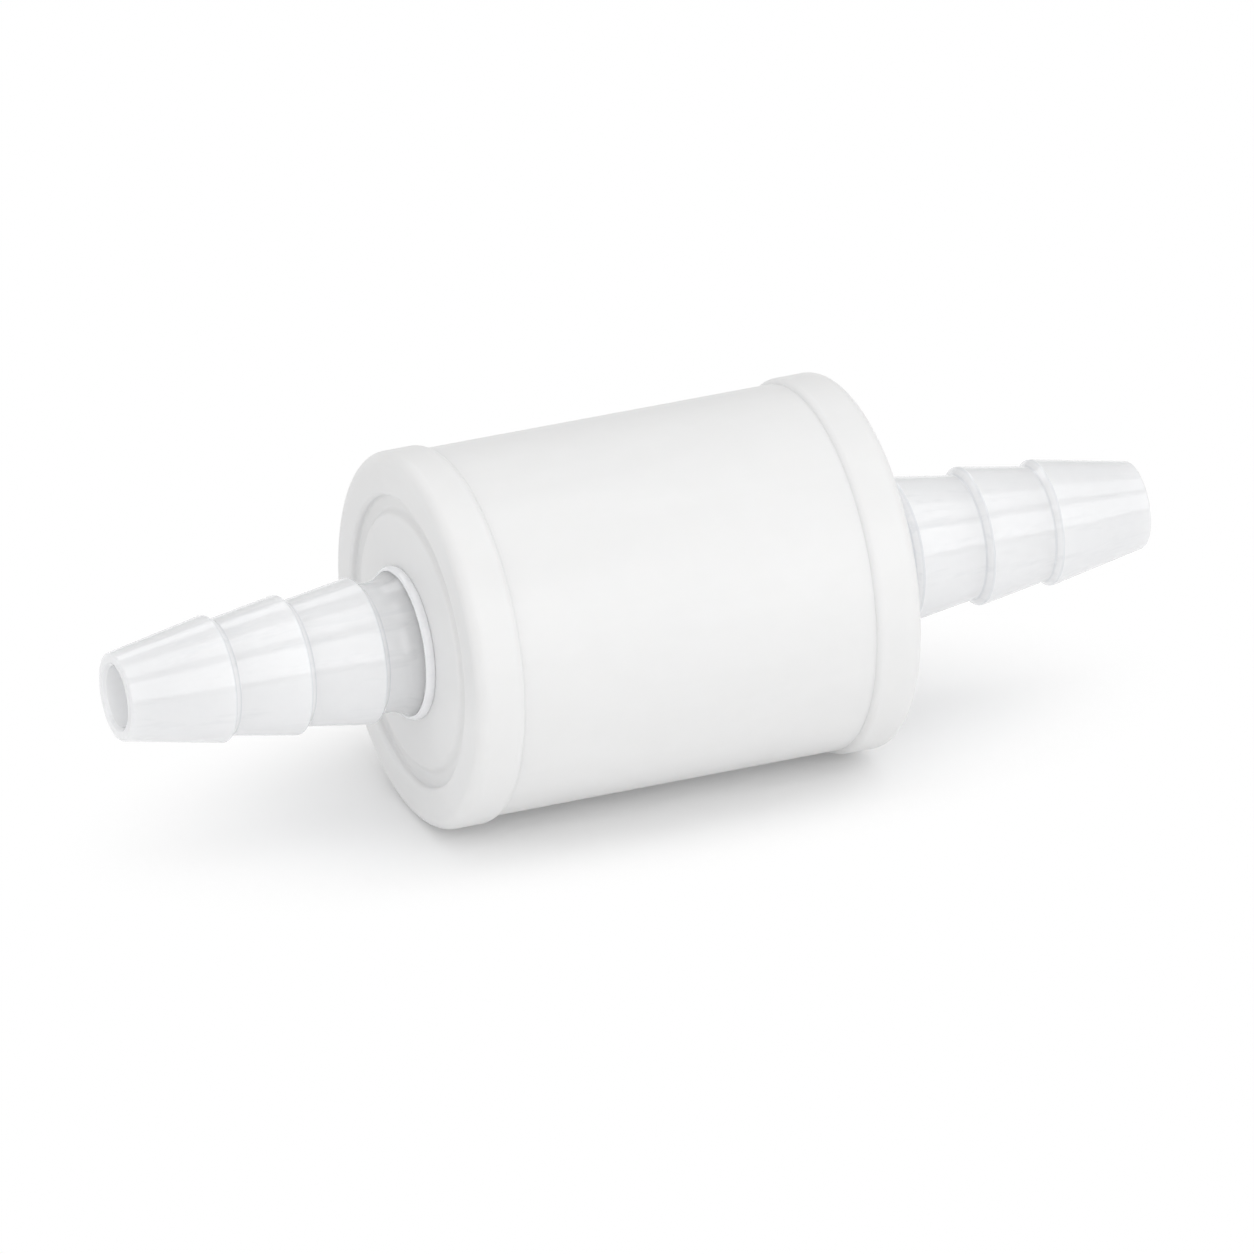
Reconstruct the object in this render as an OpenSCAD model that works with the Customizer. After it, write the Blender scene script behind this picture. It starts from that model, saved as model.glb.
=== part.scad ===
// In-line spring check valve with a stepped hose barb at each end.
// Millimetres. The flow runs along X, from the inlet at -X to the outlet at +X.
// The origin is the middle of the flow axis, and Z is up as the valve lies on a table.

/* [Housing] */
// Length over the two end caps
housing_len = 41.9; // [40:0.1:60]
// Outside diameter of the sleeve
sleeve_d = 32.6; // [30:0.2:40]
// Wall thickness of the sleeve
sleeve_wall = 3.1; // [2.6:0.1:4]
// Wall thickness of the spigot that each end cap fits over
spigot_wall = 1.5; // [1.2:0.1:1.8]
// Lead-in chamfer at the mouths of the sleeve
mouth_chamfer = 0.4; // [0.2:0.1:0.8]

/* [End caps] */
// Length of an end cap along the axis
cap_len = 4.4; // [4:0.1:6]
// How far the end caps stand proud of the sleeve
cap_step = 0.45; // [0.2:0.05:0.8]
// Radius of the outer edge of the rim
rim_round = 1.2; // [0.6:0.1:2]
// Radius of the inner edge of the rim
rim_inner_round = 0.4; // [0.2:0.1:0.6]
// Radius of the edge that meets the sleeve
back_round = 0.9; // [0.8:0.1:1.4]
// Width of the flat rim
rim_w = 3.8; // [3.6:0.1:5]
// Depth of the groove inside the rim
recess_depth = 0.7; // [0.7:0.05:1.2]
// Width of that groove
groove_w = 1.7; // [1.2:0.1:2.5]
// Thickness of the end wall under the groove
web_t = 2.35; // [1.8:0.05:3]
// Step from the groove up to the edge of the dome
dome_step = 0.45; // [0.3:0.05:0.7]
// Radius of the soft edges of that step
step_round = 0.5; // [0.3:0.1:0.6]
// Rise of the dome from its edge to the hub
dome_rise = 0.3; // [0:0.05:0.8]
// How far the slot for the spigot reaches past the end wall
slot_depth = 1.1; // [0.6:0.1:1.4]

/* [Hose barbs] */
// Diameter of the flow bore
bore_d = 5.5; // [3.5:0.1:6.5]
// Outside diameter at the tip
tip_d = 7.8; // [7.4:0.1:9]
// Diameter of the lip next to the tip
lip1_d = 11.3; // [10.8:0.1:12]
// Diameter of the middle lip
lip2_d = 12.4; // [11.8:0.1:13]
// Diameter of the lip next to the housing
lip3_d = 13; // [12.6:0.1:15]
// Diameter behind the first lip
root1_d = 10.3; // [9.4:0.1:10.8]
// Diameter behind the middle lip
root2_d = 11.1; // [10:0.1:11.6]
// Diameter of the neck between the last lip and the housing
neck_d = 11.5; // [11:0.1:12.4]
// Length of the tapered tip, from its end to the first lip
tip_len = 9.1; // [6:0.1:12]
// Distance from one lip to the next
lip_pitch = 6.85; // [5:0.05:9]
// Length of the slope behind each lip
lip_back = 0.65; // [0.4:0.05:1.2]
// Length of the neck with its flare
neck_len = 3.15; // [3:0.05:8]
// Length of the flare that widens the neck to its boss
flare_len = 1.4; // [1.1:0.1:1.8]
// Radius of the hollow of the flare
flare_round = 2.6; // [1:0.1:2.6]
// Chamfer at the mouth of the flow bore
mouth_bevel = 0.3; // [0.1:0.05:0.5]
// How far the boss of the barb stands out of the end cap
boss_proud = 0.65; // [0.3:0.05:1]
// Thickness of the flange inside the housing
flange_t = 3.6; // [3.2:0.1:5]
// Diameter of the funnel in the inner face of the flange
funnel_d = 16; // [12:0.5:18]

/* [O-rings] */
// Cord diameter of the O-rings
cord_d = 1.5; // [1.2:0.1:1.8]
// Part of the cord diameter that is squeezed when fitted
cord_squeeze = 0.14; // [0.08:0.02:0.24]
// Groove width as a multiple of the cord diameter
groove_ratio = 1.3; // [1.2:0.05:1.5]

/* [Valve seat] */
// Diameter of the throat that the poppet closes
throat_d = 10; // [8:0.2:11]
// Length of the seat ring without its bead
seat_len = 6.2; // [5.4:0.1:8]
// Length of the straight throat, up to the top of its bead
throat_len = 4; // [3:0.1:5]
// Width of the sealing bead round the throat
bead_w = 0.9; // [0.6:0.1:1.4]
// Height of the sealing bead
bead_h = 0.8; // [0.4:0.1:1.2]
// Wall left between the funnel of the seat ring and its rim
seat_rim_w = 2.6; // [2.4:0.1:3.2]

/* [Poppet] */
// Travel of the poppet from closed to fully open
lift = 3.5; // [2:0.1:5]
// Thickness of the rubber seal
seal_t = 1.6; // [1:0.1:2.4]
// How far the rubber seal reaches past the bead
seal_margin = 1.3; // [0.8:0.1:1.6]
// Width of the rim of the head, round the rubber seal
head_rim_w = 1; // [0.8:0.1:1.4]
// Part of the seal thickness that sits inside the rim of the head
seal_sunk = 0.6; // [0.4:0.05:0.8]
// Thickness of the head behind the seal
head_t = 2.2; // [1.6:0.1:3]
// Diameter of the stem
stem_d = 4; // [3.6:0.1:4.4]
// Diameter of the threaded front end of the stem
stud_d = 3; // [2.5:0.1:3.2]
// Length of the stem behind its clip
stem_tail = 1; // [0.6:0.1:1.5]
// Length of the stud in front of its nut
stud_tail = 0.5; // [0.4:0.1:1]
// Chamfer on both ends of the stem
stem_chamfer = 0.4; // [0.1:0.1:0.4]
// Thickness of the seal retainer
retainer_t = 1.2; // [0.8:0.1:1.6]
// Radial gap between the seal retainer and the throat
retainer_gap = 0.9; // [0.6:0.1:1.2]
// Width across the flats of the lock nut
nut_flats = 5.5; // [5:0.1:6]
// Thickness of the lock nut
nut_t = 2.4; // [1.8:0.1:3]

/* [Spring] */
// Wire diameter
wire_d = 0.6; // [0.4:0.05:0.8]
// Number of active coils
active_coils = 5; // [3:0.5:7]
// Diameter of the pilots that centre the spring
pilot_d = 7.8; // [7:0.1:8.4]
// Radial clearance between the spring and its pilots
spring_clear = 0.3; // [0.1:0.05:0.6]
// Thickness of the steel washer under the spring
washer_t = 0.5; // [0.3:0.1:1]

/* [Guide] */
// Length of the spider along the axis
spider_len = 6.7; // [5.6:0.1:8]
// Number of webs in the spider
web_count = 4; // [3:1:6]
// Thickness of each web of the spider
spider_web_t = 1.6; // [1:0.1:2.2]
// Length of the hub behind the spring seat
hub_len = 3.6; // [3:0.1:5]
// Width of the spring seat round the pilot
spring_seat_w = 2.4; // [2:0.1:3]
// Length of the pilot on the hub
pilot_len = 1.8; // [1:0.1:2.4]
// Wall thickness of the guide bush
bush_wall = 0.9; // [0.6:0.05:1.1]
// Thickness of the flange of the guide bush
bush_flange_t = 0.8; // [0.5:0.1:1.2]
// Wall thickness of the spacer tube
spacer_wall = 1.6; // [1.2:0.1:2.2]
// Diameter of the groove that the clip sits in
clip_groove_d = 3; // [2.6:0.1:3.3]
// Thickness of the clip on the stem
clip_t = 0.6; // [0.4:0.1:0.8]
// How far the clip stands out from the stem
clip_w = 1.8; // [1.2:0.1:2.4]

/* [Fits] */
// Radial clearance between the end caps and what they fit over
cap_fit = 0.05; // [0.02:0.01:0.1]
// Gap between the end of a spigot and the end wall of its cap
cap_gap = 0.2; // [0.1:0.05:0.3]
// Radial clearance of the pieces stacked in the bore of the sleeve
stack_fit = 0.1; // [0.05:0.01:0.2]
// Radial clearance of pieces clamped on the stem, pressed into the hub or let into an end cap
seat_fit = 0.03; // [0.02:0.01:0.05]
// Radial running clearance of the stem in its bush
run_fit = 0.05; // [0.02:0.01:0.09]
// Gap left between the poppet and the bush when fully open
stop_gap = 0.2; // [0.1:0.05:0.3]
// Gap between the clip and the hub when closed
clip_gap = 0.3; // [0.2:0.05:0.5]

/* [Hidden] */
$fn = 96;
over = 1;             // cutters run this far past what they cut
fine_step = 5;        // degrees between the points of a large rounding
coarse_step = 15;     // degrees between the points of a small rounding
small_round = 0.25;   // moulded edges that only need their sharpness taken off

white_plastic = [0.95, 0.95, 0.94];
clear_plastic = [0.86, 0.88, 0.92, 0.7];
valve_plastic = [0.80, 0.82, 0.84];
rubber_black = [0.12, 0.12, 0.13];
bush_white = [0.90, 0.88, 0.82];
steel = [0.66, 0.68, 0.70];

// Radii of the housing
sleeve_r = sleeve_d / 2;
cap_r = sleeve_r + cap_step;
chamber_r = sleeve_r - sleeve_wall;
spigot_r = chamber_r + spigot_wall;
stack_r = chamber_r - stack_fit;
recess_r = cap_r - rim_w;
dome_r = recess_r - groove_w;

// Radii of the barb
bore_r = bore_d / 2;
boss_r = lip3_d / 2;
hub_hole_r = boss_r + seat_fit;
funnel_r = funnel_d / 2;

// Stations along the axis, on the outlet side
crest_x = housing_len / 2;
cap_back_x = crest_x - cap_len;
groove_x = crest_x - recess_depth;
dome_x = groove_x + dome_step + dome_rise;
flange_out_x = groove_x - web_t;
flange_in_x = flange_out_x - flange_t;
slot_x = flange_out_x + slot_depth;
spigot_x = slot_x - cap_gap;
boss_x = dome_x + boss_proud;
lip3_x = boss_x + neck_len + lip_back;
lip2_x = lip3_x + lip_pitch;
lip1_x = lip2_x + lip_pitch;
tip_x = lip1_x + tip_len;

// O-ring section once squeezed: the height that is left, and the width that keeps its area
seal_h = cord_d * (1 - cord_squeeze);
seal_w = (PI * pow(cord_d / 2, 2) - PI * pow(seal_h / 2, 2)) / seal_h + seal_h;
gland_w = cord_d * groove_ratio;
gland_r = chamber_r - seal_h;

// Seat ring, clamped between the inlet flange and the spacer tube
throat_r = throat_d / 2;
bead_r = throat_r + bead_w;
seat_x0 = -flange_in_x;
seat_x1 = seat_x0 + seat_len;
closed_x = seat_x1 + bead_h;
seat_funnel_r = stack_r - seat_rim_w;

// Spider, clamped between the spacer tube and the outlet flange
spider_x0 = flange_in_x - spider_len;
spacer_r = stack_r - spacer_wall;
pilot_r = pilot_d / 2;
spring_seat_r = pilot_r + spring_seat_w;
hub_x1 = spider_x0 + hub_len;
bush_x0 = spider_x0 - pilot_len - bush_flange_t;

// Poppet, from the front of the stem to its clip
stem_r = stem_d / 2;
stud_r = stud_d / 2;
seal_r = bead_r + seal_margin;
head_r = seal_r + head_rim_w;
head_x0 = closed_x + seal_t;
head_x1 = head_x0 + head_t;
boss_x1 = bush_x0 - lift - stop_gap;
shoulder_x = head_x1;
retainer_x0 = closed_x - retainer_t;
retainer_r = throat_r - retainer_gap;
nut_x0 = retainer_x0 - nut_t;
stud_x0 = nut_x0 - stud_tail;
bush_r = stem_r + run_fit + bush_wall;
clip_x0 = hub_x1 + clip_gap;
clip_groove_r = clip_groove_d / 2;
stem_x1 = clip_x0 + clip_t + stem_tail;

// Spring, from the back of the head to its washer
washer_x0 = spider_x0 - washer_t;
coil_r = pilot_r + spring_clear + wire_d / 2;
spring_land_r = coil_r + wire_d;
dead_coils = 1;       // closed coils at each end
wire_sides = 8;
steps_per_coil = 20;

function unit(v) = v / norm(v);

// Points of the rounding of corner q, between its neighbours p and s
function rounding(p, q, s, radius) =
    radius == 0 ? [q] :
    let (u = unit(p - q), v = unit(s - q),
         half = acos(u * v) / 2,
         reach = radius / tan(half),
         centre = q + unit(u + v) * radius / sin(half),
         start = q + u * reach - centre,
         end = q + v * reach - centre,
         a0 = atan2(start.y, start.x),
         turn = (atan2(end.y, end.x) - a0 + 540) % 360 - 180,
         n = ceil(abs(turn) / (radius > 2 * small_round ? fine_step : coarse_step)))
    [for (i = [0 : n]) centre + radius * [cos(a0 + turn * i / n), sin(a0 + turn * i / n)]];

// Outline from corners, each given as [radius, station, rounding]
function outline(corners) =
    let (n = len(corners))
    [for (i = [0 : n - 1])
        let (p = corners[(i + n - 1) % n], q = corners[i], s = corners[(i + 1) % n])
        each rounding([p.x, p.y], [q.x, q.y], [s.x, s.y], q.z)];

// A turned piece: the corners run round its section, and the axis is X
module turned(corners) {
    rotate([0, 90, 0]) rotate_extrude() polygon(outline(corners));
}

// A cutter or a plain ring between two radii and two stations
module ring(r0, r1, x0, x1) {
    rotate([0, 90, 0]) rotate_extrude() translate([r0, x0]) square([r1 - r0, x1 - x0]);
}

module bore(r, x0, x1) {
    translate([x0, 0, 0]) rotate([0, 90, 0]) cylinder(r = r, h = x1 - x0);
}

module inlet_side() {
    mirror([1, 0, 0]) children();
}

// A squeezed O-ring in its gland, seated on the wall of the chamber
module oring(x_mid) {
    end_r = seal_h / 2;
    flat = (seal_w - seal_h) / 2;
    color(rubber_black) rotate([0, 90, 0]) rotate_extrude() translate([gland_r + end_r, x_mid]) {
        translate([-end_r, -flat]) square([seal_h, 2 * flat]);
        for (side = [-1, 1]) translate([0, side * flat]) circle(end_r);
    }
}

// Tube with a stepped spigot at each end
module body_sleeve() {
    end = mouth_chamfer;
    color(white_plastic) turned([
        [chamber_r, -spigot_x + end, 0], [chamber_r + end, -spigot_x, 0],
        [spigot_r - end, -spigot_x, 0], [spigot_r, -spigot_x + end, 0],
        [spigot_r, -cap_back_x, 0], [sleeve_r, -cap_back_x, 0],
        [sleeve_r, cap_back_x, 0], [spigot_r, cap_back_x, 0],
        [spigot_r, spigot_x - end, 0], [spigot_r - end, spigot_x, 0],
        [chamber_r + end, spigot_x, 0], [chamber_r, spigot_x - end, 0]]);
}

// Ring cap: a flat rim, a groove inside it and a dome that rises to the hub hole; a slot takes the spigot
module end_cap() {
    skirt_r = spigot_r + cap_fit;
    back_rise = sqrt(pow(back_round, 2) - pow(back_round - cap_step, 2));
    back_arc = [for (a = [0 : fine_step : acos((back_round - cap_step) / back_round)])
        [cap_r - back_round + back_round * cos(a), cap_back_x + back_rise - back_round * sin(a), 0]];
    color(white_plastic) turned(concat(
        [[cap_r, crest_x, rim_round]],
        back_arc,
        [[sleeve_r, cap_back_x, 0],
         [skirt_r, cap_back_x, 0],
         [skirt_r, slot_x, 0],
         [chamber_r - cap_fit, slot_x, 0],
         [chamber_r - cap_fit, flange_out_x, 0],
         [hub_hole_r, flange_out_x, 0],
         [hub_hole_r, dome_x, 0],
         [dome_r, groove_x + dome_step, step_round],
         [dome_r + dome_step, groove_x, step_round],
         [recess_r, groove_x, small_round],
         [recess_r, crest_x, rim_inner_round]]));
}

module inlet_cap() {
    inlet_side() end_cap();
}

module outlet_cap() {
    end_cap();
}

// Barb in one piece with its boss and flange; a gland in the flange takes the O-ring
module hose_barb() {
    gland_x = (flange_in_x + flange_out_x) / 2;
    tip_r = tip_d / 2;
    bell_x = flange_in_x + funnel_r - bore_r;
    color(clear_plastic) turned([
        [bore_r, tip_x - mouth_bevel, 0],
        [bore_r + mouth_bevel, tip_x, 0],
        [tip_r, tip_x, small_round],
        [lip1_d / 2, lip1_x, small_round],
        [root1_d / 2, lip1_x - lip_back, small_round],
        [lip2_d / 2, lip2_x, small_round],
        [root2_d / 2, lip2_x - lip_back, small_round],
        [lip3_d / 2, lip3_x, small_round],
        [neck_d / 2, lip3_x - lip_back, small_round],
        [neck_d / 2, boss_x + flare_len, flare_round],
        [boss_r, boss_x, small_round],
        [boss_r, flange_out_x, 0],
        [stack_r, flange_out_x, small_round],
        [stack_r, gland_x + gland_w / 2, 0],
        [gland_r, gland_x + gland_w / 2, 0],
        [gland_r, gland_x - gland_w / 2, 0],
        [stack_r, gland_x - gland_w / 2, 0],
        [stack_r, flange_in_x, small_round],
        [funnel_r, flange_in_x, small_round],
        [bore_r, bell_x, 0]]);
}

module inlet_barb() {
    inlet_side() hose_barb();
}

module outlet_barb() {
    hose_barb();
}

module inlet_oring() {
    inlet_side() outlet_oring();
}

module outlet_oring() {
    oring((flange_in_x + flange_out_x) / 2);
}

// Seat ring: a funnel upstream, the throat, and a raised bead that the seal closes on
module seat_ring() {
    gland_x = (seat_x0 + seat_x1) / 2;
    color(valve_plastic) turned([
        [throat_r, closed_x - throat_len, small_round],
        [throat_r, closed_x, 0],
        [bead_r, closed_x, small_round],
        [bead_r, seat_x1, small_round],
        [stack_r, seat_x1, small_round],
        [stack_r, gland_x + gland_w / 2, 0],
        [gland_r, gland_x + gland_w / 2, 0],
        [gland_r, gland_x - gland_w / 2, 0],
        [stack_r, gland_x - gland_w / 2, 0],
        [stack_r, seat_x0, small_round],
        [seat_funnel_r, seat_x0, small_round]]);
}

module seat_oring() {
    oring((seat_x0 + seat_x1) / 2);
}

module spacer_tube() {
    color(valve_plastic) turned([
        [spacer_r, seat_x1, small_round], [stack_r, seat_x1, small_round],
        [stack_r, spider_x0, small_round], [spacer_r, spider_x0, small_round]]);
}

// One web of the spider: a round nose towards the flow and a tapered tail
module spider_web() {
    nose = spider_web_t / 2;
    middle_x = spider_x0 + hub_len / 2;
    translate([0, 0, bush_r]) linear_extrude(spacer_r + spacer_wall / 2 - bush_r) {
        translate([spider_x0 + nose, 0]) circle(nose);
        polygon([[spider_x0 + nose, -nose], [middle_x, -nose], [hub_x1, -nose / 2],
                 [hub_x1, nose / 2], [middle_x, nose], [spider_x0 + nose, nose]]);
    }
}

// Spider: a rim that stacks behind the spacer tube, a hub with a pilot and a spring seat, and webs
module guide_spider() {
    hub_bore_r = bush_r + seat_fit;
    color(valve_plastic) difference() {
        union() {
            turned([[spacer_r, spider_x0, small_round], [stack_r, spider_x0, small_round],
                    [stack_r, flange_in_x, small_round], [spacer_r, flange_in_x, small_round]]);
            turned([[bush_r, spider_x0 - pilot_len, 0], [pilot_r, spider_x0 - pilot_len, small_round],
                    [pilot_r, spider_x0, 0], [spring_seat_r, spider_x0, small_round],
                    [spring_seat_r, spider_x0 + hub_len / 3, small_round],
                    [pilot_r, hub_x1, small_round], [bush_r, hub_x1, 0]]);
            for (i = [0 : web_count - 1]) rotate([360 * i / web_count, 0, 0]) spider_web();
        }
        bore(hub_bore_r, spider_x0 - pilot_len - over, flange_in_x + over);
    }
}

// Flanged bush that the stem runs in
module guide_bush() {
    guide_r = stem_r + run_fit;
    color(bush_white) turned([
        [guide_r, bush_x0, 0], [pilot_r - small_round, bush_x0, small_round],
        [pilot_r - small_round, bush_x0 + bush_flange_t, 0], [bush_r, bush_x0 + bush_flange_t, 0],
        [bush_r, hub_x1, 0], [guide_r, hub_x1, 0]]);
}

module spring_washer() {
    color(steel) ring(pilot_r + seat_fit, spring_seat_r - small_round, washer_x0, spider_x0);
}

// Share of the spring's length that is wound by turn t: closed coils at the ends, even pitch between
function wound(t) =
    let (turns = active_coils + 2 * dead_coils,
         free = washer_x0 - head_x1 - wire_d * (1 + 2 * dead_coils),
         pitch = free / active_coils)
    t < dead_coils ? wire_d * t :
    t > turns - dead_coils ? wire_d * (dead_coils + t - (turns - dead_coils)) + free :
    wire_d * dead_coils + pitch * (t - dead_coils);

// Round wire swept along the coil
module spring() {
    turns = active_coils + 2 * dead_coils;
    last = turns * steps_per_coil;
    rings = [for (i = [0 : last])
        let (t = i / steps_per_coil, a = 360 * t, x = head_x1 + wire_d / 2 + wound(t))
        for (j = [0 : wire_sides - 1])
            let (b = 360 * (j + 0.5) / wire_sides, r = coil_r + wire_d / 2 * cos(b))
            [x + wire_d / 2 * sin(b), r * cos(a), r * sin(a)]];
    sides = [for (i = [0 : last - 1], j = [0 : wire_sides - 1])
        let (k = (j + 1) % wire_sides)
        [i * wire_sides + j, i * wire_sides + k, (i + 1) * wire_sides + k, (i + 1) * wire_sides + j]];
    ends = [[for (j = [wire_sides - 1 : -1 : 0]) j], [for (j = [0 : wire_sides - 1]) last * wire_sides + j]];
    color(steel) polyhedron(rings, concat(sides, ends));
}

// Head: a cup for the seal in front, and behind it the boss that centres the spring
module poppet_head() {
    color(valve_plastic) turned([
        [stud_r + seat_fit, head_x0, 0],
        [seal_r + seat_fit, head_x0, 0],
        [seal_r + seat_fit, head_x0 - seal_sunk, small_round],
        [head_r, head_x0 - seal_sunk, small_round],
        [head_r, head_x0 + head_t / 3, small_round],
        [spring_land_r, head_x1, small_round],
        [pilot_r, head_x1, 0],
        [pilot_r, boss_x1, small_round],
        [stem_r + seat_fit, boss_x1, 0],
        [stem_r + seat_fit, shoulder_x, 0],
        [stud_r + seat_fit, shoulder_x, 0]]);
}

// Steel stem: a threaded stud in front of the shoulder, a clip groove at the back
module poppet_stem() {
    end = stem_chamfer;
    color(steel) turned([
        [0, stud_x0, 0], [stud_r - end, stud_x0, 0], [stud_r, stud_x0 + end, 0],
        [stud_r, shoulder_x, 0], [stem_r, shoulder_x, 0],
        [stem_r, clip_x0, 0], [clip_groove_r, clip_x0, 0],
        [clip_groove_r, clip_x0 + clip_t, 0], [stem_r, clip_x0 + clip_t, 0],
        [stem_r, stem_x1 - end, 0], [stem_r - end, stem_x1, 0], [0, stem_x1, 0]]);
}

module poppet_seal() {
    color(rubber_black) turned([
        [stud_r + seat_fit, closed_x, 0], [seal_r, closed_x, small_round],
        [seal_r, head_x0, 0], [stud_r + seat_fit, head_x0, 0]]);
}

// Domed washer that holds the seal at its middle, inside the throat
module seal_retainer() {
    color(steel) turned([
        [stud_r + seat_fit, retainer_x0, 0], [retainer_r - retainer_t / 2, retainer_x0, small_round],
        [retainer_r, closed_x - retainer_t / 2, small_round], [retainer_r, closed_x, 0],
        [stud_r + seat_fit, closed_x, 0]]);
}

// Hexagonal lock nut with turned corners
module retainer_nut() {
    corner_r = nut_flats / sqrt(3);
    chamfer = corner_r - nut_flats / 2;
    color(steel) difference() {
        intersection() {
            translate([nut_x0, 0, 0]) rotate([0, 90, 0]) cylinder(r = corner_r, h = nut_t, $fn = 6);
            turned([[0, nut_x0, 0], [nut_flats / 2, nut_x0, 0], [corner_r, nut_x0 + chamfer, 0],
                    [corner_r + over, nut_x0 + chamfer, 0], [corner_r + over, retainer_x0, 0],
                    [0, retainer_x0, 0]]);
        }
        bore(stud_r + seat_fit, nut_x0 - over, retainer_x0 + over);
    }
}

// Open clip with three prongs that snaps into the groove of the stem
module stem_clip() {
    grip_r = clip_groove_r + seat_fit;
    clip_r = stem_r + clip_w;
    mouth = 2 * grip_r * 0.85;
    color(steel) translate([clip_x0, 0, 0]) rotate([0, 90, 0]) linear_extrude(clip_t) difference() {
        circle(clip_r);
        circle(grip_r);
        translate([-mouth / 2, 0]) square([mouth, clip_r + over]);
        for (side = [-1, 1]) rotate(side * 75) translate([0, -stem_r - clip_w / 3]) circle(clip_w / 2);
    }
}

body_sleeve();
inlet_cap();
outlet_cap();
inlet_barb();
outlet_barb();
inlet_oring();
outlet_oring();
seat_ring();
seat_oring();
spacer_tube();
guide_spider();
guide_bush();
spring_washer();
spring();
poppet_head();
poppet_stem();
poppet_seal();
seal_retainer();
retainer_nut();
stem_clip();
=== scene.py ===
import math
import bpy
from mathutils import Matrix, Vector


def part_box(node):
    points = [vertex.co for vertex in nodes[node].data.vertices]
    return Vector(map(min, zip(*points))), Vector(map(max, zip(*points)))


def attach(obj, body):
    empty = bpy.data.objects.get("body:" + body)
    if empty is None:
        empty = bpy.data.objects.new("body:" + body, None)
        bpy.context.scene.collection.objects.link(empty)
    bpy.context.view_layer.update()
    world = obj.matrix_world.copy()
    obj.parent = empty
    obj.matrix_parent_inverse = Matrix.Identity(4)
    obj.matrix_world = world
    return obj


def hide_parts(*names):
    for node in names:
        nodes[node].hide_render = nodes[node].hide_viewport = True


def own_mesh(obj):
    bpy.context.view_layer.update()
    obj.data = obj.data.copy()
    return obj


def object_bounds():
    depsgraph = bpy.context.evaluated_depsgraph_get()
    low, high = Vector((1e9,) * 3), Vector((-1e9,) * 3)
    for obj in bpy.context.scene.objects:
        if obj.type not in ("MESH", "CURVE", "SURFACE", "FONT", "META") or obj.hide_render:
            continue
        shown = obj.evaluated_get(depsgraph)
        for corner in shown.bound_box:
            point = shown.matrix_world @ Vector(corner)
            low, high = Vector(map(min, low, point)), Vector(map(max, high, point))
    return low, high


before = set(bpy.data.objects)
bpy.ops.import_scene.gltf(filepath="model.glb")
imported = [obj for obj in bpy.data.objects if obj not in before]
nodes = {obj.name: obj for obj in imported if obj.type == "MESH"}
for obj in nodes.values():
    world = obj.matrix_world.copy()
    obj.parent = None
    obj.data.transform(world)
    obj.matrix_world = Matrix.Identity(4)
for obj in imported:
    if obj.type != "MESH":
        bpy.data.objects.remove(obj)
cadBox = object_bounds()
mm = 0.001
smoothAngle = math.radians(50)
print("frame loaded:", len(nodes), "nodes")


# Shader maths: a Value wraps one socket, and an expression on Values adds its Math nodes.
class Value:
    def __init__(self, finish, socket):
        self.finish, self.socket = finish, socket

    def maths(self, operation, *others, clamp=False):
        values = {0: self}
        values.update({i + 1: other for i, other in enumerate(others)})
        return self.finish.node("ShaderNodeMath", {"operation": operation, "use_clamp": clamp}, values)

    def __add__(self, other):
        return self.maths("ADD", other)

    def __mul__(self, other):
        return self.maths("MULTIPLY", other)

    def __sub__(self, other):
        return self.maths("SUBTRACT", other)

    def __rsub__(self, other):
        return self * -1 + other

    __radd__ = __add__
    __rmul__ = __mul__

    def band(self, low, high):  # 0 below low, 1 above high, smooth between
        return self.finish.node("ShaderNodeMapRange", {"interpolation_type": "SMOOTHSTEP"},
                                {"Value": self, "From Min": low, "From Max": high}, "Result")


class Finish:
    def __init__(self, name):
        self.material = bpy.data.materials.new(name)
        self.material.use_nodes = True
        self.tree = self.material.node_tree
        self.tree.nodes.clear()

    def node(self, kind, settings=None, sockets=None, output=0):
        made = self.tree.nodes.new(kind)
        for name, setting in (settings or {}).items():
            setattr(made, name, setting)
        for name, given in (sockets or {}).items():
            if isinstance(given, Value):
                self.tree.links.new(given.socket, made.inputs[name])
            else:
                made.inputs[name].default_value = given
        return Value(self, made.outputs[output]) if len(made.outputs) else None

    def place(self, stretch=(1, 1, 1)):  # object coordinates, stretched along the axes
        spot = self.node("ShaderNodeTexCoord", output="Object")
        return self.node("ShaderNodeMapping", None, {"Vector": spot, "Scale": stretch})

    def noise(self, size, detail, rough, stretch=(1, 1, 1), warp=0.0):  # grains about size metres apart
        return self.node("ShaderNodeTexNoise", None,
                         {"Vector": self.place(stretch), "Scale": 1 / size, "Detail": detail,
                          "Roughness": rough, "Distortion": warp}, "Fac")

    def axes(self):
        apart = self.tree.nodes.new("ShaderNodeSeparateXYZ")
        spot = self.node("ShaderNodeTexCoord", output="Object")
        self.tree.links.new(spot.socket, apart.inputs[0])
        return [Value(self, out) for out in apart.outputs]

    def radius(self):  # distance from the flow axis
        x, y, z = self.axes()
        return (y * y + z * z).maths("SQRT")

    def blend(self, share, low, high):  # colours, or colour sockets, mixed by share
        return self.node("ShaderNodeMix", {"data_type": "RGBA"}, {0: share, 6: low, 7: high}, 2)

    def bump(self, height, strength, depth, **under):
        return self.node("ShaderNodeBump", None,
                         {"Height": height, "Strength": strength, "Distance": depth, **under})

    def shader(self, **sockets):
        named = {name.replace("_", " "): given for name, given in sockets.items()}
        return self.node("ShaderNodeBsdfPrincipled", None, named)

    def surface(self, **sockets):
        return self.finished(self.shader(**sockets))

    def finished(self, shader):
        self.node("ShaderNodeOutputMaterial", None, {"Surface": shader})
        return self.material


def rgb(r, g, b):
    return (r, g, b, 1)


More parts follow.
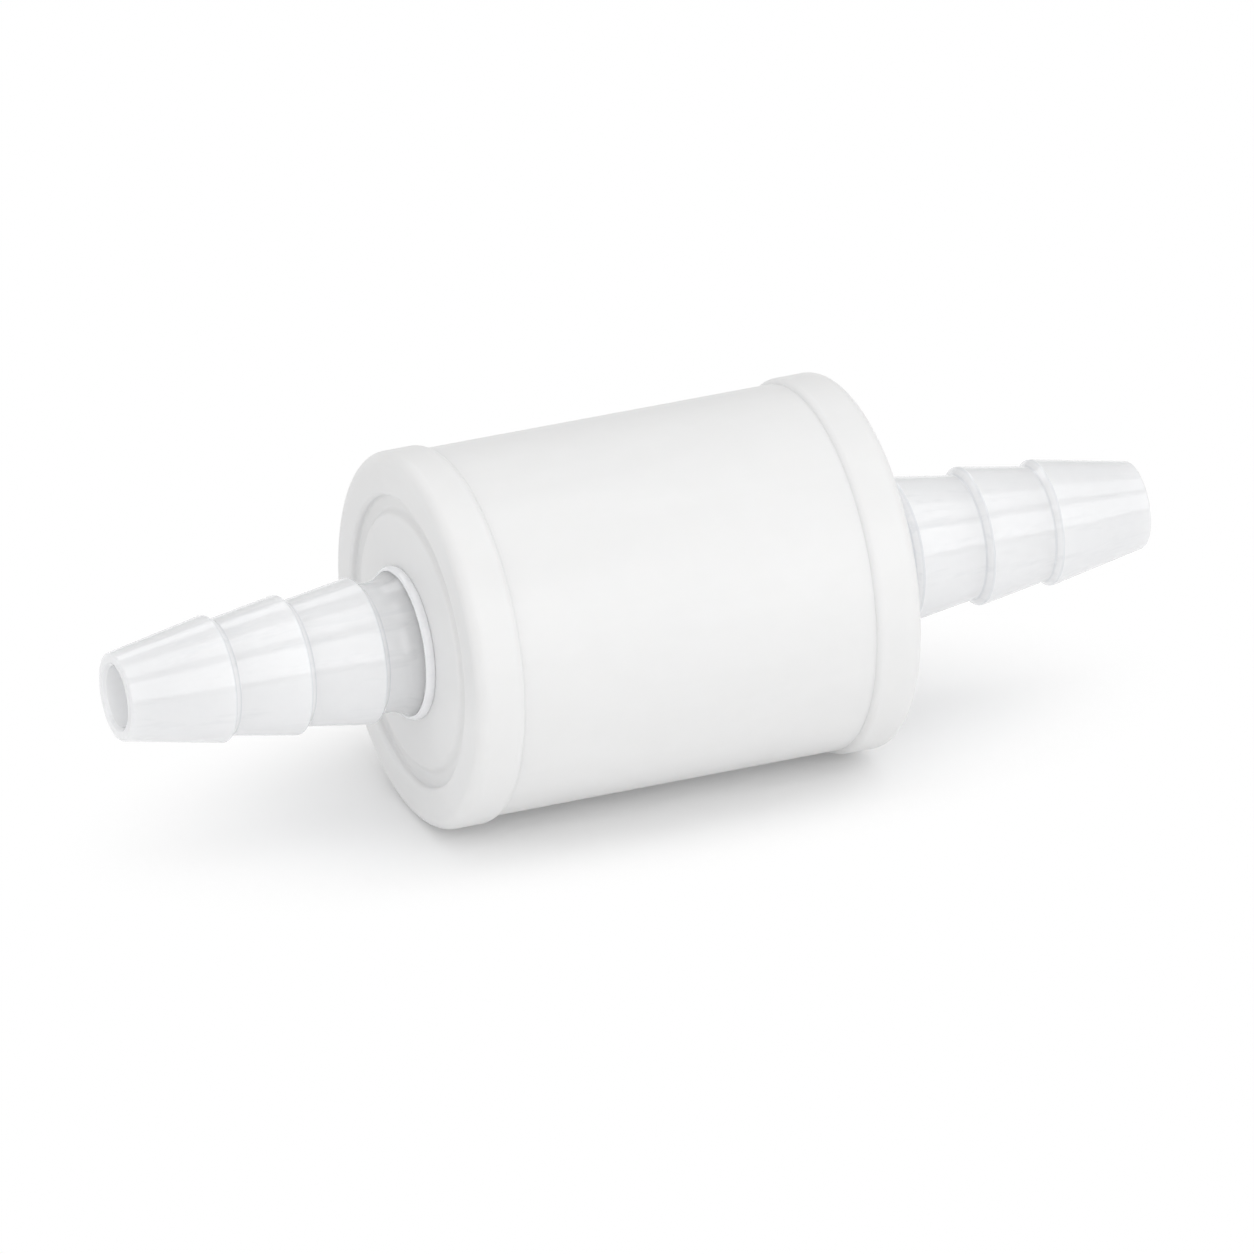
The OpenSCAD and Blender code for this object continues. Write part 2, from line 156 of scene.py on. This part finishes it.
def dress(finish, *names):
    for name in names:
        slots = nodes[name].data.materials
        if not len(slots):
            slots.append(finish)
        for i in range(len(slots)):
            slots[i] = finish


# Satin white moulding of the sleeve and the two end caps
whitePlastic = {"colour": (0.827, 0.827, 0.826), "shade": (0.808, 0.808, 0.806), "rough": 0.42,
                "roughSpread": 0.10, "peelSize": 0.9 * mm, "peelDepth": 0.012 * mm, "waveSize": 9 * mm,
                "waveDepth": 0.05 * mm}


def makeWhitePlastic(name, s, streak):
    f = Finish(name)
    flow = f.noise(6 * mm, 3, 0.55, streak, 0.6)
    mottle = f.noise(3.2 * mm, 4, 0.6)
    tone = (flow * 0.6 + mottle * 0.4).band(0.3, 0.7)
    peel = f.noise(s["peelSize"], 3, 0.6)
    wave = f.noise(s["waveSize"], 1, 0.4)
    fine = f.bump(peel, 0.5, s["peelDepth"])
    normal = f.bump(wave, 0.5, s["waveDepth"], Normal=fine)
    return f.surface(Base_Color=f.blend(tone, rgb(*s["shade"]), rgb(*s["colour"])),
                     Roughness=s["rough"] + (mottle - 0.5) * s["roughSpread"]
                     + (peel - 0.5) * s["roughSpread"] * 0.5,
                     Subsurface_Weight=0.15, Subsurface_Radius=(1.0, 0.95, 0.9), Subsurface_Scale=1.2 * mm,
                     Specular_IOR_Level=0.35, IOR=1.49, Normal=normal)


dress(makeWhitePlastic("sleeveWhite", whitePlastic, (0.25, 1, 1)), "body_sleeve")
dress(makeWhitePlastic("capWhite", whitePlastic, (1, 0.6, 0.6)), "inlet_cap", "outlet_cap")

# Natural, translucent moulding of the two barbs, with flow lines that run along the axis, painted shade on the backs
# of the lips and the bore painted paler
naturalPlastic = {"colour": (0.977, 0.981, 0.994), "shade": (0.960, 0.966, 0.984), "line": (0.77, 0.785, 0.81),
                  "lineShare": 0.38, "bore": (0.99, 0.99, 0.99), "boreRadius": 2.8 * mm, "lipRoot": 24.8 * mm,
                  "lipPitch": 6.85 * mm, "lipBack": 0.65 * mm, "lipEnd": 42 * mm, "lipPaintedShade": 1.0,
                  "lipPaintedShadeMiddle": 0.25, "rough": 0.40, "roughSpread": 0.12, "streakSize": 1.3 * mm,
                  "streakDepth": 0.035 * mm, "depth": 8.0 * mm, "coat": 1.0, "edge": 0.08, "edgeRough": 0.35}


def makeNaturalPlastic(name, s):
    f = Finish(name)
    x = f.axes()[0]
    cloud = f.noise(2.2 * mm, 4, 0.6)
    streak = f.noise(s["streakSize"], 3, 0.6, (0.05, 1, 1), 0.2)
    line = streak.band(0.50, 0.70) * s["lineShare"]
    # Painted shade on the backs of the lips: the step faces are mixed towards the line colour, darkest along both
    # edges; the flow lines take the same colour.
    fromMiddle = x.maths("ABSOLUTE")
    toRoot = (fromMiddle - (s["lipRoot"] - s["lipPitch"] / 2)).maths("MODULO", s["lipPitch"]) - s["lipPitch"] / 2
    fromBack = (toRoot - s["lipBack"] / 2).maths("ABSOLUTE")  # painted shade: dark at both edges of a lip's back, paler between
    back = fromBack.band(s["lipBack"] * 0.18, s["lipBack"] * 0.42) * (1 - s["lipPaintedShadeMiddle"]) + s["lipPaintedShadeMiddle"]
    back = back * fromBack.band(s["lipBack"] * 0.6, s["lipBack"] * 0.5)
    back = back * fromMiddle.maths("LESS_THAN", s["lipEnd"])
    # Painted light: the bore is painted a plain near-white, paler than the body, for light that comes through the
    # thin wall.
    inside = f.radius().band(s["boreRadius"] * 1.02, s["boreRadius"] * 0.99)
    body = f.blend((line + back * s["lipPaintedShade"]).maths("MINIMUM", 1.0),
                   f.blend(cloud.band(0.3, 0.7), rgb(*s["shade"]), rgb(*s["colour"])), rgb(*s["line"]))
    peel = f.noise(0.7 * mm, 2, 0.5)
    fine = f.bump(peel, 0.4, 0.006 * mm)
    normal = f.bump(streak, 0.5, s["streakDepth"], Normal=fine)
    colour = f.blend(inside, body, rgb(*s["bore"]))
    core = f.shader(Base_Color=colour, Roughness=s["rough"] + (cloud - 0.5) * s["roughSpread"]
                    + (streak - 0.5) * s["roughSpread"], Specular_IOR_Level=0.0, IOR=1.49,
                    Subsurface_Weight=1.0, Subsurface_Radius=(1.0, 1.0, 1.0),
                    Subsurface_Scale=s["depth"], Coat_Weight=s["coat"], Coat_Roughness=0.08, Coat_IOR=1.7,
                    Coat_Tint=rgb(0.985, 0.99, 1.0), Normal=normal, Coat_Normal=normal)
    clear = f.shader(Base_Color=colour, Roughness=s["edgeRough"], IOR=1.49, Transmission_Weight=1.0, Normal=normal)
    facing = f.node("ShaderNodeLayerWeight", None, {"Blend": 0.5}, "Facing")
    return f.finished(f.node("ShaderNodeMixShader", None, {0: facing * s["edge"], 1: core, 2: clear}))


barbFinish = makeNaturalPlastic("barbNatural", naturalPlastic)
# The bead takes a darker grey than the barbs: painted shade at the barb's foot.
beadPaintedShadeFinish = makeNaturalPlastic("beadNaturalPaintedShade", {**naturalPlastic, "colour": (0.90, 0.90, 0.905),
                                                "shade": (0.87, 0.87, 0.875), "depth": 0.3 * mm, "edge": 0.0})
dress(barbFinish, "inlet_barb", "outlet_barb")

# Moulded acetal of the valve cartridge
acetal = {"colour": (0.80, 0.80, 0.775), "shade": (0.74, 0.74, 0.715), "rough": 0.38}


def makeAcetal(name, s):
    f = Finish(name)
    mottle = f.noise(1.5 * mm, 4, 0.6)
    grain = f.noise(0.35 * mm, 2, 0.5)
    return f.surface(Base_Color=f.blend(mottle.band(0.3, 0.7), rgb(*s["shade"]), rgb(*s["colour"])),
                     Roughness=s["rough"] + (grain - 0.5) * 0.14, IOR=1.48, Subsurface_Weight=0.1,
                     Subsurface_Scale=0.6 * mm, Normal=f.bump(grain, 0.5, 0.008 * mm))


dress(makeAcetal("cartridgeAcetal", acetal), "seat_ring", "spacer_tube", "guide_spider", "poppet_head")

# Turned PTFE of the guide bush
ptfe = {"colour": (0.84, 0.83, 0.79), "shade": (0.78, 0.765, 0.72), "rough": 0.5, "cutPitch": 0.12 * mm}


def makePtfe(name, s):
    f = Finish(name)
    x = f.axes()[0]
    cuts = ((x + f.radius()) * (2 * math.pi / s["cutPitch"])).maths("SINE")
    smear = f.noise(0.8 * mm, 4, 0.6)
    return f.surface(Base_Color=f.blend(smear.band(0.3, 0.7), rgb(*s["shade"]), rgb(*s["colour"])),
                     Roughness=s["rough"] + (smear - 0.5) * 0.2, IOR=1.38,
                     Normal=f.bump(cuts * 0.5 + smear, 0.4, 0.004 * mm))


dress(makePtfe("bushPtfe", ptfe), "guide_bush")

# Black moulded rubber of the O-rings and the poppet's seal
rubber = {"colour": (0.040, 0.040, 0.043), "shade": (0.022, 0.022, 0.024), "rough": 0.55}


def makeRubber(name, s):
    f = Finish(name)
    bloom = f.noise(1.1 * mm, 5, 0.65)
    grain = f.noise(0.12 * mm, 2, 0.5)
    return f.surface(Base_Color=f.blend(bloom.band(0.35, 0.7), rgb(*s["shade"]), rgb(*s["colour"])),
                     Roughness=s["rough"] + (bloom - 0.5) * 0.25, IOR=1.5,
                     Normal=f.bump(grain, 0.4, 0.006 * mm))


dress(makeRubber("sealRubber", rubber), "inlet_oring", "outlet_oring", "seat_oring", "poppet_seal")

# Stainless steel: turned marks run round the axis, drawn marks run along the wire
steel = {"colour": (0.63, 0.63, 0.625), "shade": (0.50, 0.50, 0.495), "rough": 0.24, "cutPitch": 0.09 * mm}


def makeTurnedSteel(name, s):
    f = Finish(name)
    x = f.axes()[0]
    cuts = ((x + f.radius()) * (2 * math.pi / s["cutPitch"])).maths("SINE")
    uneven = f.noise(0.5 * mm, 4, 0.6, (6, 1, 1))
    return f.surface(Base_Color=f.blend(uneven.band(0.3, 0.7), rgb(*s["shade"]), rgb(*s["colour"])), Metallic=1.0,
                     Roughness=s["rough"] + (uneven - 0.5) * 0.22,
                     Normal=f.bump(cuts * 0.5 + uneven, 0.35, 0.003 * mm))


dress(makeTurnedSteel("turnedSteel", steel), "poppet_stem", "seal_retainer", "retainer_nut")

stampedSteel = {"colour": (0.60, 0.60, 0.60), "shade": (0.46, 0.46, 0.455), "rough": 0.32, "rollSize": 0.3 * mm}


def makeStampedSteel(name, s):
    f = Finish(name)
    rolled = f.noise(s["rollSize"], 3, 0.6, (1, 8, 1))
    stain = f.noise(1.4 * mm, 4, 0.6)
    return f.surface(Base_Color=f.blend(stain.band(0.3, 0.7), rgb(*s["shade"]), rgb(*s["colour"])), Metallic=1.0,
                     Roughness=s["rough"] + (stain - 0.5) * 0.2, Normal=f.bump(rolled, 0.3, 0.003 * mm))


dress(makeStampedSteel("stampedSteel", stampedSteel), "spring_washer", "stem_clip")
print("finishes made")


# The spring, wound again as a smooth coil over the length of the spring part; the real spring shortens as the poppet
# opens
spring = {"wire": 0.6 * mm, "wireSides": 14, "closedTurns": 1, "activeTurns": 5, "stepsPerTurn": 48,
          "colour": (0.66, 0.66, 0.66), "shade": (0.52, 0.52, 0.515), "rough": 0.22}


def deselectAll():
    bpy.ops.object.select_all(action="DESELECT")


def coilStretch(start, length, turns, radius, s):
    deselectAll()
    bpy.ops.mesh.primitive_circle_add(vertices=s["wireSides"], radius=s["wire"] / 2, fill_type="NOTHING",
                                      location=(start, radius, 0))
    stretch = bpy.context.object
    bpy.ops.object.transform_apply(location=True, rotation=True, scale=True)
    wind = stretch.modifiers.new("wind", "SCREW")
    wind.axis, wind.angle, wind.screw_offset = "X", 2 * math.pi * turns, length
    wind.steps = wind.render_steps = int(s["stepsPerTurn"] * turns)
    wind.use_merge_vertices = False
    bpy.ops.object.modifier_apply(modifier=wind.name)
    return stretch


def makeSpring(s):
    low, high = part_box("spring")
    radius = (high.y - low.y) / 2 - s["wire"] / 2
    first, last = low.x + s["wire"] / 2, high.x - s["wire"] / 2
    closed = s["wire"] * s["closedTurns"]
    parts = [coilStretch(first, closed, s["closedTurns"], radius, s),
             coilStretch(first + closed, last - first - 2 * closed, s["activeTurns"], radius, s),
             coilStretch(last - closed, closed, s["closedTurns"], radius, s)]
    deselectAll()
    for part in parts:
        part.select_set(True)
    bpy.context.view_layer.objects.active = parts[0]
    bpy.ops.object.join()
    coil = bpy.context.object
    coil.name = "spring_coil"
    bpy.ops.object.mode_set(mode="EDIT")
    bpy.ops.mesh.select_all(action="SELECT")
    bpy.ops.mesh.remove_doubles(threshold=0.01 * mm)
    bpy.ops.mesh.select_all(action="DESELECT")
    bpy.ops.mesh.select_non_manifold()
    bpy.ops.mesh.edge_face_add()
    bpy.ops.mesh.select_all(action="SELECT")
    bpy.ops.mesh.normals_make_consistent(inside=False)
    bpy.ops.object.mode_set(mode="OBJECT")
    bpy.ops.object.shade_smooth_by_angle(angle=smoothAngle)
    return coil


def makeDrawnSteel(name, s):
    f = Finish(name)
    drawn = f.noise(0.16 * mm, 3, 0.6, (5, 1, 1))
    stain = f.noise(1.8 * mm, 4, 0.6)
    return f.surface(Base_Color=f.blend(stain.band(0.3, 0.7), rgb(*s["shade"]), rgb(*s["colour"])), Metallic=1.0,
                     Roughness=s["rough"] + (drawn - 0.5) * 0.2, Normal=f.bump(drawn, 0.3, 0.002 * mm))


springCoil = makeSpring(spring)
springCoil.data.materials.clear()
springCoil.data.materials.append(makeDrawnSteel("springWire", spring))
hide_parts("spring")
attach(springCoil, "housing")
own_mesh(springCoil)
print("spring wound:", len(springCoil.data.polygons), "faces")


# Thin bead of the same plastic round the foot of each barb, which closes the joint with the cap; it is painted darker
# grey than the barbs, as painted shade in the joint
bead = {"across": 0.60 * mm, "stretch": 1.6, "centreRadius": 6.52 * mm, "standOff": 0.34 * mm,
        "face": 21.0 * mm, "sides": 20, "steps": 128}


def makeBead(name, side, s):
    deselectAll()
    bpy.ops.mesh.primitive_circle_add(vertices=s["sides"], radius=s["across"] / 2, fill_type="NOTHING",
                                      location=(side * (s["face"] + s["standOff"]), s["centreRadius"], 0))
    ring = bpy.context.object
    ring.name, ring.scale = name, (s["stretch"], 1, 1)
    bpy.ops.object.transform_apply(location=True, rotation=True, scale=True)
    sweep = ring.modifiers.new("sweep", "SCREW")
    sweep.axis, sweep.angle, sweep.screw_offset = "X", 2 * math.pi, 0
    sweep.steps = sweep.render_steps = s["steps"]
    sweep.use_merge_vertices = False
    bpy.ops.object.modifier_apply(modifier=sweep.name)
    bpy.ops.object.mode_set(mode="EDIT")
    bpy.ops.mesh.select_all(action="SELECT")
    bpy.ops.mesh.remove_doubles(threshold=0.002 * mm)
    bpy.ops.mesh.normals_make_consistent(inside=False)
    bpy.ops.object.mode_set(mode="OBJECT")
    bpy.ops.object.shade_smooth_by_angle(angle=smoothAngle)
    ring.data.materials.append(beadPaintedShadeFinish)
    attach(ring, "housing")
    return ring


for beadName, side in (("inlet_bead", -1), ("outlet_bead", 1)):
    makeBead(beadName, side, bead)
print("beads made")


# Floor and lamps
room = {"floorSize": 3.0, "floorColour": (0.934, 0.934, 0.934), "lift": 0.12, "sky": 0.60,
        "middle": 1.5 * mm, "squeeze": 0.42, "fadeFrom": 10.5 * mm, "fadeTo": 22.5 * mm}


def makeFloorPaint(s):
    f = Finish("floorPaper")
    fleck = f.noise(0.05, 2, 0.5)
    tone = f.blend(fleck, rgb(*s["floorColour"]), rgb(*[c * 0.995 for c in s["floorColour"]]))
    paper = f.node("ShaderNodeBsdfDiffuse", None, {"Color": tone})
    glow = f.node("ShaderNodeEmission", None, {"Color": rgb(1, 1, 1), "Strength": 1.0})
    path = [f.node("ShaderNodeLightPath", output="Is %s Ray" % kind) for kind in ("Camera", "Glossy", "Transmission")]
    seen = path[0].maths("MAXIMUM", path[1]).maths("MAXIMUM", path[2])
    x, y, z = f.axes()
    across, along = y - s["middle"], x * s["squeeze"]
    # Painted light: glow for camera, glossy and transmission rays fades in with distance from the object, whitening
    # the floor there and setting how far the shadow reaches; near the object a small share of it lightens the shadow
    paintedGlowShare = (across * across + along * along).maths("SQRT").band(s["fadeFrom"], s["fadeTo"])
    lit = f.node("ShaderNodeMixShader", None, {0: seen * (paintedGlowShare * (1 - s["lift"]) + s["lift"]), 1: paper, 2: glow})
    f.node("ShaderNodeOutputMaterial", None, {"Surface": lit})
    return f.material


def makeRoom(s):
    low, high = cadBox
    deselectAll()
    bpy.ops.mesh.primitive_plane_add(size=s["floorSize"], location=(0, 0, low.z))
    floor = bpy.context.object
    floor.name = "floor"
    floor.data.materials.append(makeFloorPaint(s))
    world = bpy.data.worlds.new("studio")
    world.use_nodes = True
    tree = world.node_tree
    tree.nodes.clear()
    sky = tree.nodes.new("ShaderNodeBackground")
    sky.inputs["Color"].default_value = rgb(1, 1, 1)
    sky.inputs["Strength"].default_value = s["sky"]
    out = tree.nodes.new("ShaderNodeOutputWorld")
    tree.links.new(sky.outputs[0], out.inputs[0])
    bpy.context.scene.world = world


lamps = [
    {"name": "overhead", "place": (0.25, -0.06, 0.62), "aim": 0.25, "wide": 0.90, "deep": 0.36, "power": 0.95},
    {"name": "front", "place": (0.25, -0.51, 0.31), "aim": 0.25, "wide": 0.90, "deep": 0.48, "power": 1.65},
    {"name": "inletSide", "place": (-0.54, -0.05, 0.24), "aim": 0.0, "wide": 0.40, "deep": 0.30, "power": 0.36},
    {"name": "inletLow", "place": (-0.56, -0.22, 0.05), "aim": 0.0, "wide": 0.40, "deep": 0.12, "power": 0.12},
    {"name": "back", "place": (-0.10, 0.42, 0.42), "aim": 0.0, "wide": 0.60, "deep": 0.20, "power": 0.40},
]


def makeLamp(s):
    lamp = bpy.data.lights.new(s["name"], "AREA")
    lamp.shape, lamp.size, lamp.size_y, lamp.energy = "RECTANGLE", s["wide"], s["deep"], s["power"]
    holder = bpy.data.objects.new(s["name"], lamp)
    bpy.context.scene.collection.objects.link(holder)
    holder.location = s["place"]
    holder.rotation_euler = (Vector(s["place"]) - Vector((s["aim"], 0, 0))).to_track_quat("Z", "Y").to_euler()


makeRoom(room)
for lampSettings in lamps:
    makeLamp(lampSettings)
print("room lit")


# Camera: its turn round the object, its height as an angle, and how far its middle lies off the origin
shot = {"azimuth": -22.84, "elevation": 26.73, "distance": 2.0, "lens": 657.7, "sensor": 36,
        "near": 0.01, "far": 10, "aside": -0.14 * mm, "under": -2.34 * mm}


def makeCamera(s):
    around, above = math.radians(s["azimuth"]), math.radians(s["elevation"])
    back = Vector((math.sin(around) * math.cos(above), -math.cos(around) * math.cos(above), math.sin(above)))
    right = Vector((math.cos(around), math.sin(around), 0))
    up = back.cross(right)
    lens = bpy.data.cameras.new("shot")
    lens.lens, lens.sensor_width, lens.clip_start, lens.clip_end = s["lens"], s["sensor"], s["near"], s["far"]
    camera = bpy.data.objects.new("shot", lens)
    bpy.context.scene.collection.objects.link(camera)
    camera.location = back * s["distance"] + right * s["aside"] + up * s["under"]
    camera.rotation_euler = back.to_track_quat("Z", "Y").to_euler()
    bpy.context.scene.camera = camera


makeCamera(shot)
bpy.context.scene.view_settings.view_transform = "Standard"
print("camera placed")
